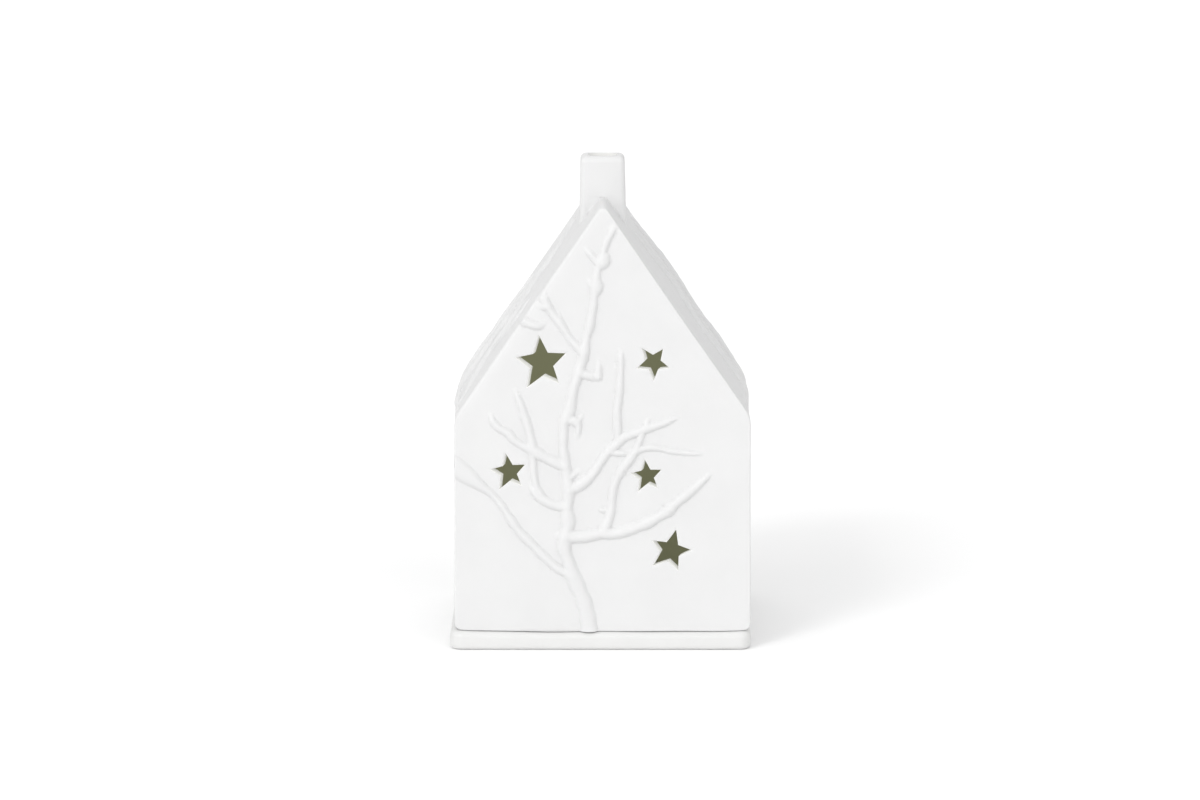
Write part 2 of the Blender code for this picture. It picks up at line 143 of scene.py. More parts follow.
# the house's sizes in mm
house = {
    "width": 95.0, "depth": 87.0, "wallHeight": 69.6, "roofRise": 68.6, "wallLean": 0.35,
    "wall": 3.0,
    "eaveRound": 2.6, "ridgeRound": 3.0, "footRound": 2.2,  # tangent lengths
    # roundings where the gable meets the rest: left rake, right rake, walls, lower edge, back
    "rakeLeft": 2.0, "rakeRight": 1.0, "corner": 1.1, "lowEdge": 0.2, "back": 1.5,
    # how far the gable falls back along the left rake, over what, how deep, and from where
    "rub": 0.4, "rubReach": 3.8, "rubDepth": 4.0, "rubStart": 6.0,
    "chimneyBase": 15.3, "chimneyTop": 14.3, "chimneyRound": 1.9, "chimneyBack": 28.0,
    "chimneyFillet": 2.4, "flue": 9.6, "flueCorner": 3.6, "flueRound": 0.8, "flueDepth": 25.0,
    "cavityRound": 2.0,
    "frontGrid": 1.2, "skinGrid": 2.2,
    "wobble": 0.16, "wobbleSize": 34.0,
    "sag": 0.45,  # how far the lower edge and the tray dip in the middle
}
houseLow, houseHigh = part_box("house")
middleX = houseHigh[0] - house["width"] / 2 * mm
backY = houseHigh[1]
frontY = backY - house["depth"] * mm
footZ = houseLow[2]
eaveZ = footZ + house["wallHeight"] * mm
ridgeZ = eaveZ + house["roofRise"] * mm
eaveHalf = (house["width"] / 2 - house["wallLean"]) * mm
slope = (ridgeZ - eaveZ) / eaveHalf
slopeLength = math.hypot(ridgeZ - eaveZ, eaveHalf) / mm
chimneyY = frontY + (house["chimneyBack"] + house["chimneyTop"] / 2) * mm

# five hand-cut stars: middle across and up, reach of the tips, first tip's direction
stars = [
    (-19.5, 87, 8.6, 95),
    (16, 87.2, 5.6, 127),
    (-30, 51.8, 6, 98),
    (14, 50.5, 5.3, 97),
    (21.6, 26, 7, 76),
]
# the tips reach unevenly, since each star is cut by hand
starTips = (1.06, 0.96, 0.97, 1.04, 0.97)
starCut = {"waist": 0.46, "leanAside": 0.28, "leanUp": 0.09, "softEdge": 0.22}

# raised twigs on the gable: across, up, width
gableTwigs = [
    [(-4.2, 0.0, 4.2), (-4.9, 5.1, 4.2), (-6.1, 10.1, 3.9), (-8.2, 15.1, 4.1), (-9.6, 18.6, 3.9),
     (-10.7, 22.1, 3.3), (-11.6, 25.0, 3.1), (-12.1, 28.0, 3.2), (-12.0, 31.0, 3.6),
     (-11.3, 34.0, 3.8), (-11.1, 36.0, 3.8), (-11.3, 39.0, 3.2), (-11.1, 42.0, 3.1),
     (-10.9, 46.0, 3.5), (-11.2, 49.0, 3.2), (-11.5, 51.9, 2.9), (-12.1, 55.9, 2.7),
     (-12.6, 59.9, 2.5), (-12.5, 64.8, 2.6), (-12.3, 68.3, 2.7), (-11.0, 71.3, 3.6),
     (-10.3, 73.8, 3.2), (-9.8, 76.8, 2.7), (-8.8, 80.8, 2.6), (-7.8, 83.7, 3.0),
     (-6.9, 86.7, 2.7), (-5.9, 90.2, 2.9), (-5.2, 94.7, 2.4), (-3.9, 100.2, 2.5),
     (-3.0, 105.6, 2.4), (-2.6, 109.1, 2.3), (-2.0, 111.7, 3.9), (-2.1, 114.1, 2.5),
     (-1.5, 117.6, 2.2), (0.1, 120.1, 3.8), (0.1, 122.6, 2.4), (1.1, 126.0, 2.1),
     (2.4, 128.5, 2.0), (3.8, 131.2, 1.6)],
    [(-9.6, 17.6, 3.0), (-12.2, 19.4, 2.9), (-15, 21.1, 2.7), (-19, 24.8, 2.4),
     (-23, 28.9, 2.3), (-27, 33.1, 2.3), (-30, 37.5, 2.2), (-32.5, 41.5, 2.2),
     (-35.5, 45, 2.2), (-39, 47.6, 2.6), (-43, 50.7, 4.0), (-47.2, 53.6, 5.4),
     (-51, 55.4, 5.6)],
    [(-11, 31, 3.6), (-6, 31, 3.4), (-1, 32, 3.3), (4, 32, 3.1), (9, 33.4, 3.1), (13, 35, 3.1),
     (17, 37, 3.0), (20.5, 39.2, 3.0), (23.5, 42, 2.7), (27, 44.8, 2.6), (30.5, 47.9, 2.2),
     (34.3, 51.4, 1.3)],
    [(0.5, 33.4, 2.8), (1.8, 36.5, 2.6), (2.7, 40, 2.6), (3, 44, 2.6), (3.8, 47.9, 2.5),
     (5.5, 51.7, 2.5), (7.8, 54.9, 2.4), (9.7, 57.4, 2.2), (11, 59.9, 2.0), (12.2, 63.3, 1.8),
     (13.5, 66.3, 1.6), (14.6, 69, 1.2)],
    [(-0.4, 39.7, 1.4), (1.8, 39.2, 1.8)],
    [(9.7, 58, 2.0), (13, 59.5, 2.0), (16, 59.9, 1.9), (18.5, 59.5, 1.7), (22, 58.7, 1.6),
     (26, 58.2, 1.5), (31.5, 57.8, 1.1)],
    [(-10.8, 45.8, 3.2), (-6.5, 48.2, 2.9), (-3, 51.6, 2.7), (-0.8, 54.9, 2.6), (1.3, 58, 2.5),
     (4, 60.6, 2.4), (7, 63.2, 2.4), (10.5, 64.6, 2.4), (14.5, 66.1, 2.3), (19, 67.6, 2.0),
     (24, 69.6, 1.2)],
    [(2.6, 58.1, 1.7), (8.6, 58, 1.7)],
    [(4.9, 61.6, 2.2), (4.6, 67.8, 2.2), (4.6, 71.8, 2.4), (5.2, 76.8, 2.2), (5.6, 81.8, 2.0),
     (5.8, 86.7, 1.8), (5.7, 91.2, 1.3)],
    [(-12, 53.7, 3.0), (-16, 55.5, 3.1), (-19.5, 57.3, 3.0), (-22.5, 59.1, 2.8),
     (-26, 60.9, 2.4), (-28.3, 62.5, 2.3), (-30, 64.6, 2.2), (-33, 66.3, 2.0),
     (-34.8, 68.3, 1.7), (-35.7, 71, 1.2)],
    [(-22.2, 59.5, 2.6), (-23.3, 64.9, 2.3), (-24.7, 69.8, 2.2), (-26, 73.8, 2.1),
     (-27.9, 78.6, 1.3)],
    [(-24.6, 68.6, 1.6), (-26.4, 71.2, 1.2)],
    [(-22.4, 57.8, 2.2), (-22, 52.9, 1.9), (-21.6, 49.4, 1.9), (-21, 46.9, 1.9),
     (-19.5, 44.6, 1.8), (-18.3, 42.7, 1.8)],
    [(-11.5, 40.5, 3.0), (-15.5, 41.3, 2.8), (-18.5, 42.7, 2.6), (-21.2, 44.7, 2.2),
     (-22.8, 47.8, 1.5)],
    [(-6.1, 90.2, 2.8), (-8.2, 92.6, 2.2), (-10.2, 94.8, 2.0), (-13.6, 100.1, 2.2),
     (-16.2, 103.5, 2.1), (-18.3, 107.2, 2.6), (-19.4, 109.4, 3.0)],
    [(-17.2, 105.3, 2.2), (-20.3, 105.6, 1.7)],
    [(-13.2, 99.8, 1.6), (-14, 103.4, 1.1)],
    [(-26, 101.2, 3.0), (-23.2, 99.8, 2.6), (-20.4, 99.1, 2.1), (-18.8, 100.1, 1.7)],
    [(-7.2, 83.9, 2.6), (-3.4, 82.9, 2.3), (-1.4, 82.6, 2.2)],
    [(-1.5, 82.8, 2.3), (-1.2, 87.6, 1.2)],
    [(-11.3, 68.8, 2.6), (-8.8, 68.4, 3.0), (-7.8, 66.6, 2.2), (-8.2, 63.2, 1.5)],
    [(-7.8, 68.6, 1.8), (-6.6, 70.4, 1.2)],
    [(-1.6, 119.2, 2.2), (-3.3, 121.4, 1.9), (-5.6, 123.9, 1.3)],
    [(-2.6, 111.8, 2.4), (-4.4, 113.3, 1.5)],
    [(-10.4, 50.1, 2.2), (-7.8, 52.2, 1.7)],
    [(-11.8, 31, 3.0), (-14.2, 31.2, 2.4)],
    [(-12.4, 30.6, 2.6), (-13.4, 27.4, 2.2), (-12.4, 23.4, 1.8)],
]
# twigs that run round the left side: back from the gable, up the wall and on up the slope
leftTwigs = [
    [(-0.6, 53.8, 1.6), (3, 54.6, 2.6), (8, 55.8, 3.8), (14, 57.2, 3.4), (22, 58.6, 3.0),
     (33, 62, 2.8), (43, 66.4, 2.8), (53, 72, 3.0), (58, 80, 3.2), (58, 88, 3.0),
     (53, 97, 3.0), (57, 102, 2.8), (53.5, 108, 2.9), (52, 115, 2.8), (50, 122, 2.7),
     (53, 128, 2.7), (60, 133, 2.6), (63, 139, 2.4), (61, 145, 2.0)],
    [(14, 57.2, 2.8), (24, 53.4, 2.3), (35, 51.6, 2.0), (46, 53.2, 1.4)],
    [(22, 58.6, 2.4), (19, 66, 2.4), (21, 75, 2.5), (26, 81, 2.6), (32.5, 87, 2.6),
     (34, 93, 2.5), (36, 99, 2.4), (40, 105, 2.3), (47, 110, 2.2), (51.5, 116, 2.0)],
    [(43, 66.4, 2.2), (62, 69, 2.2), (75, 75, 2.3), (77, 82, 2.4), (74.5, 90, 2.2),
     (75.5, 98, 2.1), (73, 106, 1.7), (74, 113, 1.2)],
    [(58, 84, 1.8), (66, 93, 1.7), (67, 103, 1.5), (64, 110, 1.1)],
    [(61, 134, 1.8), (69, 139, 1.6), (72, 145, 1.1)],
    [(33, 90, 1.6), (26, 97, 1.5), (23, 106, 1.3), (24, 113, 1.0)],
]
rightTwigs = [
    [(63, 0, 3.4), (61, 14, 3.1), (62, 28, 2.9), (58.5, 42, 2.8), (57.5, 56, 2.8),
     (56, 70, 2.8), (54, 80, 2.8), (51, 88, 2.7), (48.5, 97, 2.7), (53, 104, 2.6),
     (57.5, 111, 2.5), (54, 119, 2.4), (47.5, 127, 2.2), (44, 135, 1.6)],
    [(61.6, 20, 2.5), (51, 30, 2.1), (43, 42, 1.8), (39, 52, 1.3)],
    [(58.8, 40, 2.4), (66, 51, 2.3), (72, 63, 2.3), (79, 74, 2.5), (85.5, 84, 2.8),
     (82, 92, 2.4), (80.5, 100, 2.4), (85.8, 109, 2.8), (85.5, 117, 2.8), (79, 126, 2.2),
     (73, 134, 1.8), (71, 141, 1.2)],
    [(52, 86, 2.0), (62, 92, 1.9), (68, 99, 1.8), (68, 108, 1.5), (71, 116, 1.1)],
    [(72, 64, 1.8), (68, 76, 1.7), (69, 85, 1.2)],
    [(45.6, 38, 1.6), (36, 41, 1.2)],
]
twigForm = {"least": 0.3, "share": 0.36, "most": 1.5, "fullness": 0.68, "blend": 5.0,
            "spread": 1.2, "knots": 0.12, "knotSpacing": 4.0, "cornerReach": 45.0,
            "tip": 0.2, "tipLength": 2.6}


def houseOutline(inset, bottom):
    drop = inset * math.hypot(1, slope)
    lean = house["wallLean"] / house["wallHeight"]
    halfLow = house["width"] / 2 * mm - inset - (bottom - footZ) * lean
    halfEave = eaveHalf - inset
    eave = eaveZ + inset * slope - drop
    points = [(-halfLow, bottom), (halfLow, bottom), (halfEave, eave), (0, ridgeZ - drop),
              (-halfEave, eave)]
    return [(x + middleX, z) for x, z in points]


def houseBlock(material):
    bm = extrudeOutline(houseOutline(0, footZ), frontY, backY)
    lengthwise = [e for e in bm.edges
                  if abs(e.verts[0].co.y - e.verts[1].co.y) > house["depth"] / 2 * mm]
    rounds = [(eaveZ, house["eaveRound"]), (ridgeZ, house["ridgeRound"]),
              (footZ, house["footRound"])]
    groups = [([e for e in lengthwise if abs(e.verts[0].co.z - z) < mm], length)
              for z, length in rounds]
    for edges, length in groups:
        bevelEdges(bm, edges, length * mm, 7)
    weights = bm.edges.layers.float.new("bevel_weight_edge")
    for edge in bm.edges:
        a, b = (vert.co for vert in edge.verts)
        if abs(a.y - b.y) > 1e-6:
            continue
        height = ((a.z + b.z) / 2 - eaveZ) / mm
        climb = min(1.0, max(0.0, height / house["eaveRound"] / 2 + 0.5))
        side = min(1.0, max(0.0, ((a.x + b.x) / 2 - middleX) / (4 * mm) + 0.5))
        rake = house["rakeLeft"] * (1 - side) + house["rakeRight"] * side
        size = house["corner"] * (1 - climb) + rake * climb
        if max(a.z, b.z) < footZ + 1e-6:
            size = house["lowEdge"]
        elif a.y > 0:
            size = house["back"]
        edge[weights] = size / house["rakeLeft"]
    block = newObject("house_shell", bm, [material])
    bevel = block.modifiers.new("edges", "BEVEL")
    bevel.limit_method = "WEIGHT"
    bevel.width = house["rakeLeft"] * mm
    bevel.segments = 5
    applyModifiers(block)
    return block


def squareColumn(sideLow, sideHigh, low, high, uprightRound, topRound, name, material):
    bm = bmesh.new()
    bmesh.ops.create_cube(bm, size=1.0)
    for vert in bm.verts:
        side = (sideHigh if vert.co.z > 0 else sideLow) * mm
        vert.co = Vector((vert.co.x * side + middleX, vert.co.y * side + chimneyY,
                          high if vert.co.z > 0 else low))
    uprights = [e for e in bm.edges if abs(e.verts[0].co.z - e.verts[1].co.z) > mm]
    bevelEdges(bm, uprights, uprightRound * mm, 6)
    if topRound:
        rim = [e for e in bm.edges if min(v.co.z for v in e.verts) > high - 1e-6]
        bevelEdges(bm, rim, topRound * mm, 5)
    return newObject(name, bm, [material])


def starPoints(reach, first):
    points = []
    step = 2 * math.pi / len(starTips)
    for index, share in enumerate(starTips):
        angle = math.radians(first) - index * step
        notch = angle - step / 2
        depth = starCut["waist"] * (share + starTips[(index + 1) % len(starTips)]) / 2
        points.append(Vector((math.cos(angle), math.sin(angle))) * reach * share)
        points.append(Vector((math.cos(notch), math.sin(notch))) * reach * depth)
    return points


def starCutter(material):
    bm = bmesh.new()
    front, back = frontY - 3 * mm, frontY + 2 * house["wall"] * mm
    for across, up, reach, first in stars:
        offset = Vector((middleX + across * mm, 0, footZ + up * mm))
        face = bm.faces.new([bm.verts.new(offset + Vector((p.x * mm, front, p.y * mm)))
                             for p in starPoints(reach, first)])
        grown = bmesh.ops.extrude_face_region(bm, geom=[face])
        moved = [item for item in grown["geom"] if isinstance(item, bmesh.types.BMVert)]
        lean = Vector((starCut["leanAside"], 0, starCut["leanUp"]))
        bmesh.ops.translate(bm, vec=lean * (back - front) + Vector((0, back - front, 0)),
                            verts=moved)
        bmesh.ops.translate(bm, vec=-lean * (frontY - front), verts=list(face.verts) + moved)
    bmesh.ops.recalc_face_normals(bm, faces=bm.faces[:])
    return newObject("star_cutter", bm, [material])


def smoothRoute(route):
    # Catmull-Rom curve through the chosen points, a point about every 0.6 mm
    points = [np.array(p, float) for p in route]
    points = [2 * points[0] - points[1], *points, 2 * points[-1] - points[-2]]
    samples = []
    for a, b, c, d in zip(points, points[1:], points[2:], points[3:]):
        steps = max(2, int(np.hypot(*(c - b)[:2]) / 0.6))
        for t in np.linspace(0, 1, steps, endpoint=False):
            samples.append(0.5 * (2 * b + (c - a) * t + (2 * a - 5 * b + 4 * c - d) * t * t
                                  + (3 * b - a - 3 * c + d) * t ** 3))
    samples.append(points[-2])
    samples = np.array(samples)
    along = np.concatenate([[0], np.cumsum(np.hypot(*np.diff(samples[:, :2], axis=0).T))])
    for index, distance in enumerate(along):
        lump = noise.noise(Vector((distance / twigForm["knotSpacing"], route[0][0], route[0][1])))
        samples[index, 2] *= 1 + 2 * twigForm["knots"] * lump
    # each twig sinks into the wall over its last few millimetres
    stand = np.clip(twigForm["tip"] + (along[-1] - along) / twigForm["tipLength"], 0, 1)
    return np.column_stack([samples, stand])


def twigField(places, routes):
    # height of the relief in mm, and the gap to the nearest twig's edge, at (across, up) places
    total = np.zeros(len(places))
    clear = np.full(len(places), 99.0)
    for samples in routes:
        low = samples[:, :2].min(0) - 5
        high = samples[:, :2].max(0) + 5
        near = np.where(((places > low) & (places < high)).all(1))[0]
        if len(near) == 0:
            continue
        best = np.full(len(near), 99.0)
        ratio = np.full(len(near), 9.0)
        width = np.ones(len(near))
        stand = np.ones(len(near))
        spots = places[near]
        for start, end in zip(samples, samples[1:]):
            span = end[:2] - start[:2]
            share = np.clip(((spots - start[:2]) @ span) / max(span @ span, 1e-9), 0, 1)
            distance = np.hypot(*(spots - start[:2] - share[:, None] * span).T)
            wide = start[2] + (end[2] - start[2]) * share
            closer = distance / wide < ratio
            ratio = np.where(closer, distance / wide, ratio)
            best = np.where(closer, distance, best)
            width = np.where(closer, wide, width)
            stand = np.where(closer, start[3] + (end[3] - start[3]) * share, stand)
        peak = np.minimum(twigForm["least"] + twigForm["share"] * width, twigForm["most"])
        reach = 2 * ratio / twigForm["spread"]
        height = peak * stand * np.clip(1 - reach ** 2, 0, 1) ** twigForm["fullness"]
        total[near] += height ** twigForm["blend"]
        clear[near] = np.minimum(clear[near], best - width / 2 * twigForm["spread"])
    return total ** (1 / twigForm["blend"]), clear


def gablePlace(point):
    return ((point.x - middleX) / mm, (point.z - footZ) / mm)


def sidePlace(point):
    back = (point.y - frontY) / mm
    if point.z < eaveZ:
        return (back, (point.z - footZ) / mm)
    return (back, house["wallHeight"] + (point.z - eaveZ) / (ridgeZ - eaveZ) * slopeLength)


def refineNearTwigs(bm, faces, placeOf, routes, reach):
    # halves the faces near the twigs
    faces = [f for f in faces if f.is_valid]
    places = np.array([placeOf(f.calc_center_median()) for f in faces])
    clear = twigField(places, routes)[1]
    chosen = [f for f, gap in zip(faces, clear) if gap < reach]
    edges = list({e for f in chosen for e in f.edges})
    bmesh.ops.subdivide_edges(bm, edges=edges, cuts=1, use_grid_fill=True, use_only_quads=False)


def isGable(face):
    return face.material_index == 0 and face.normal.y < -0.75 and \
        face.calc_center_median().y < frontY + 2.5 * mm


def isSide(face, sign):
    if face.material_index != 0 or abs(face.normal.y) > 0.75 or sign * face.normal.x < 0.2:
        return False
    centre = face.calc_center_median()
    across = abs(centre.x - middleX)
    skin = eaveHalf - max(0.0, centre.z - eaveZ) / slope
    return across > skin - 1.5 * mm and across > 9 * mm


def sagAt(x):
    # the lower edge and the tray's top dip together in the middle, as fired
    reach = (x - middleX) / (house["width"] / 2 * mm)
    wave = 0.10 * math.sin(5.1 * reach + 0.6) + 0.06 * math.sin(11.0 * reach + 2.0)
    return (house["sag"] * (reach * reach - 0.45) + wave) * mm


def chimneyGap(point):
    # how far a point is from the line where the chimney stands on the roof
    half = house["chimneyBase"] / 2 * mm
    column = max(abs(point.x - middleX), abs(point.y - chimneyY)) - half
    roof = (point.z - ridgeZ + slope * max(abs(point.x - middleX), 1.2 * mm)) / math.hypot(1, slope)
    return math.hypot(column, roof)


def raiseTwigs(bm, faces, placeOf, routes, direction, strength=lambda v: 1.0):
    verts = list({v for f in faces if f.is_valid for v in f.verts})
    heights = twigField(np.array([placeOf(v.co) for v in verts]), routes)[0]
    for vert, height in zip(verts, heights):
        if height > 0.001:
            out = direction(vert)
            facing = max(0.0, vert.normal.dot(out))
            vert.co += out * height * mm * min(1.0, facing * 1.3) * strength(vert)
    return [v for v, height in zip(verts, heights) if height > 0.001]


def wallStrength(vert):
    # twigs on a side wall start flat at the front corner and stand out further back
    fromCorner = (vert.co.y - frontY) / (twigForm["cornerReach"] * mm)
    nearEave = (vert.co.z - eaveZ) / (8 * mm)
    return min(1.0, max(0.08, fromCorner, nearEave))


def softenRake(bm):
    # the left edge of the gable was rubbed down by hand: it falls back gently towards the roof
    reach = house["rubReach"] * mm
    for vert in bm.verts:
        run = middleX - vert.co.x
        gap = (ridgeZ - slope * run - vert.co.z) / math.hypot(1, slope)
        deep = (vert.co.y - frontY) / (house["rubDepth"] * mm)
        if run > 0 and gap < reach and deep < 1:
            start = min(1.0, run / (house["rubStart"] * mm))
            fall = min(1.0, 1 - gap / reach) ** 2 * start
            vert.co.y += house["rub"] * mm * fall * (1 - max(0.0, deep))


def wobble(point, amount, size, seed):
    spot = point / (size * mm) + Vector((seed, 0, 0))
    return noise.noise_vector(spot) * amount * mm


def buildHouse(skin, inside, throat, cut):
    shell = houseBlock(skin)
    root = ridgeZ - house["chimneyBase"] * mm * slope / 2 - house["wall"] * mm
    combine(shell, squareColumn(house["chimneyBase"], house["chimneyTop"], root, houseHigh[2],
                                house["chimneyRound"], house["chimneyRound"], "chimney", skin),
            "UNION")
    wall = house["wall"] * mm
    bm = extrudeOutline(houseOutline(wall, footZ - 2 * mm), frontY + wall, backY - wall)
    bevelEdges(bm, [e for e in bm.edges if max(v.co.z for v in e.verts) > footZ],
               house["cavityRound"] * mm, 3)
    combine(shell, newObject("cavity", bm, [inside]), "DIFFERENCE")
    combine(shell, squareColumn(house["flue"], house["flue"], ridgeZ - house["flueDepth"] * mm,
                                houseHigh[2] + 3 * mm, house["flueCorner"], 0, "flue",
                                throat), "DIFFERENCE")
    combine(shell, starCutter(cut), "DIFFERENCE")
    print("house: walls, chimney, flue and stars cut")

    bm = bmesh.new()
    bm.from_mesh(shell.data)
    bm.normal_update()
    rims = []
    for edge in bm.edges:
        a, b = (vert.co for vert in edge.verts)
        level = abs(a.y - frontY) < 1e-5 and abs(b.y - frontY) < 1e-5
        if level and len(edge.link_faces) == 2 and edge.calc_face_angle() > 1.0:
            if min(a.z, b.z) > footZ + 5 * mm:
                rims.append(edge)
    bevelEdges(bm, rims, starCut["softEdge"] * mm, 2)
    top = houseHigh[2]
    flueRim = [e for e in bm.edges if min(v.co.z for v in e.verts) > top - 1e-5
               and len(e.link_faces) == 2 and e.calc_face_angle() > 1.0]
    bevelEdges(bm, flueRim, house["flueRound"] * mm, 4)
    bm.normal_update()

    halfWidth = house["width"] / 2 * mm
    for axis, low, high in ((0, middleX - halfWidth, middleX + halfWidth), (2, footZ, ridgeZ)):
        sliceFaces(bm, [f for f in bm.faces if isGable(f)], axis, low, high,
                   house["frontGrid"] * mm)
    outer = [f for f in bm.faces if f.material_index == 0 and not isGable(f)]
    sliceFaces(bm, outer, 1, frontY, backY, house["skinGrid"] * mm)
    outer = [f for f in bm.faces if f.material_index == 0 and not isGable(f)]
    sliceFaces(bm, outer, 2, footZ, houseHigh[2], house["skinGrid"] * mm)
    back = [f for f in bm.faces if f.material_index == 0 and f.normal.y > 0.75]
    sliceFaces(bm, back, 0, middleX - halfWidth, middleX + halfWidth, house["skinGrid"] * mm)
    print("house: skin sliced,", len(bm.faces), "faces")

    gable = [smoothRoute(route) for route in gableTwigs]
    left = [smoothRoute(route) for route in leftTwigs]
    right = [smoothRoute(route) for route in rightTwigs]
    for reach in (0.9, 0.5):
        refineNearTwigs(bm, [f for f in bm.faces if isGable(f)], gablePlace, gable, reach)
        bm.normal_update()
    for sign, routes in ((-1, left), (1, right)):
        for reach in (1.4, 0.8, 0.4):
            refineNearTwigs(bm, [f for f in bm.faces if isSide(f, sign)], sidePlace, routes, reach)
            bm.normal_update()
    for reach in (3.5, 3.0):
        near = [f for f in bm.faces if f.material_index == 0
                and chimneyGap(f.calc_center_median()) < reach * mm]
        bmesh.ops.subdivide_edges(bm, edges=list({e for f in near for e in f.edges}), cuts=1,
                                  use_grid_fill=True)
    print("house: refined near the twigs,", len(bm.faces), "faces")

    raised = raiseTwigs(bm, [f for f in bm.faces if isGable(f)], gablePlace, gable,
                        lambda v: Vector((0, -1, 0)))
    for sign, routes in ((-1, left), (1, right)):
        wallOut = Vector((sign, 0, 0))
        roofOut = Vector((sign * slope, 0, 1)).normalized()
        raised += raiseTwigs(bm, [f for f in bm.faces if isSide(f, sign)], sidePlace, routes,
                             lambda v: wallOut if v.co.z < eaveZ else roofOut, wallStrength)
    softenRake(bm)
    bmesh.ops.smooth_vert(bm, verts=list(set(raised)), factor=0.4, use_axis_x=True,
                          use_axis_y=True, use_axis_z=True)
    joint = [v for v in bm.verts if chimneyGap(v.co) < house["chimneyFillet"] * mm]
    for turn in range(10):
        bmesh.ops.smooth_vert(bm, verts=joint, factor=0.5, use_axis_x=True, use_axis_y=True,
                              use_axis_z=True)
    for vert in bm.verts:
        fade = max(0.0, 1 - (vert.co.z - footZ) / (18 * mm))
        vert.co.z += sagAt(vert.co.x) * fade * fade
        lift = min(1.0, (vert.co.z - footZ) / (12 * mm))
        vert.co += wobble(vert.co, house["wobble"], house["wobbleSize"], 3.1) * max(0.0, lift)
    bmesh.ops.recalc_face_normals(bm, faces=bm.faces[:])
    bm.to_mesh(shell.data)
    bm.free()
    smoothShade(shell, 38)
    return shell


# the tray's sizes in mm
tray = {"topRound": 2.0, "lowRound": 1.4, "cornerRound": 4.0, "grid": 2.4,
        "wobble": 0.14, "wobbleSize": 26.0, "lift": 0.12,
        "seatRadius": 20.8, "seatDepth": 2.0, "seatRound": 0.9}
trayLow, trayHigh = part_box("base_tray")


def buildTray(skin):
    bm = bmesh.new()
    bmesh.ops.create_cube(bm, size=1.0)
    for vert in bm.verts:
        share = (vert.co.x + 0.5, vert.co.y + 0.5, vert.co.z + 0.5)
        vert.co = Vector([trayLow[i] + (trayHigh[i] - trayLow[i]) * share[i] for i in range(3)])
    uprights = [e for e in bm.edges if abs(e.verts[0].co.z - e.verts[1].co.z) > mm]
    bevelEdges(bm, uprights, tray["cornerRound"] * mm, 8)
    middle = (trayLow[2] + trayHigh[2]) / 2
    upper = [e for e in bm.edges if min(v.co.z for v in e.verts) > middle]
    bevelEdges(bm, upper, tray["topRound"] * mm, 7)
    lower = [e for e in bm.edges if max(v.co.z for v in e.verts) < trayLow[2] + 1e-6]
    bevelEdges(bm, lower, tray["lowRound"] * mm, 5)
    piece = newObject("tray_plate", bm, [skin])

    seat = bmesh.new()
    floor = trayHigh[2] - tray["seatDepth"] * mm
    bmesh.ops.create_cone(seat, cap_ends=True, segments=96, depth=10 * mm,
                          radius1=tray["seatRadius"] * mm, radius2=tray["seatRadius"] * mm,
                          matrix=Matrix.Translation((0, 0, floor + 5 * mm)))
    combine(piece, newObject("seat", seat, [skin]), "DIFFERENCE")

    bm = bmesh.new()
    bm.from_mesh(piece.data)
    bm.normal_update()
    rim = [e for e in bm.edges if len(e.link_faces) == 2 and e.calc_face_angle() > 1.0
           and min(v.co.z for v in e.verts) > floor - 1e-6]
    bevelEdges(bm, rim, tray["seatRound"] * mm, 5)
    for axis in (0, 1):
        sliceFaces(bm, bm.faces[:], axis, trayLow[axis], trayHigh[axis], tray["grid"] * mm)
    for vert in bm.verts:
        share = max(0.0, (vert.co.z - trayLow[2]) / (trayHigh[2] - trayLow[2]))
        edge = max(abs(vert.co.x) / trayHigh[0], abs(vert.co.y) / trayHigh[1])
        outward = min(1.0, max(0.0, (edge - 0.55) / 0.3))
        if share > 0.02:
            vert.co += wobble(vert.co, tray["wobble"], tray["wobbleSize"], 9.4) * share * outward
        vert.co.z += (sagAt(vert.co.x) + tray["lift"] * mm) * share * share * outward
    bmesh.ops.recalc_face_normals(bm, faces=bm.faces[:])
    bm.to_mesh(piece.data)
    bm.free()
    smoothShade(piece, 38)
    return piece


# the tealight's sizes in mm, and its counts
candle = {"foil": 0.3, "rimRoll": 0.3, "rimInset": 0.6, "footInset": 0.8, "footRound": 1.2,
          "footTaper": 0.7, "segments": 96, "wrinkles": 72, "wrinkle": 0.05}
holder = {"plate": 6.8, "plateHeight": 0.6, "neck": 1.8, "neckHeight": 4.8, "bore": 1.05}
cupLow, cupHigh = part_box("tealight_cup")
waxLow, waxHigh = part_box("tealight_wax")
wickLow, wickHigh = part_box("wick")


def spinProfile(name, points, material, segments, closed=False):
    bm = bmesh.new()
    verts = [bm.verts.new((radius, 0, z)) for radius, z in points]
    edges = [bm.edges.new(pair) for pair in zip(verts, verts[1:])]
    if closed:
        edges.append(bm.edges.new((verts[-1], verts[0])))
    bmesh.ops.spin(bm, geom=verts + edges, cent=(0, 0, 0), axis=(0, 0, 1), angle=2 * math.pi,
                   steps=segments, use_merge=True)
    bmesh.ops.remove_doubles(bm, verts=bm.verts[:], dist=1e-6)
    bmesh.ops.recalc_face_normals(bm, faces=bm.faces[:])
    return newObject(name, bm, [material])


def arc(centreR, centreZ, radius, start, end, steps):
    return [(centreR + radius * math.cos(math.radians(start + (end - start) * i / steps)),
             centreZ + radius * math.sin(math.radians(start + (end - start) * i / steps)))
            for i in range(steps + 1)]


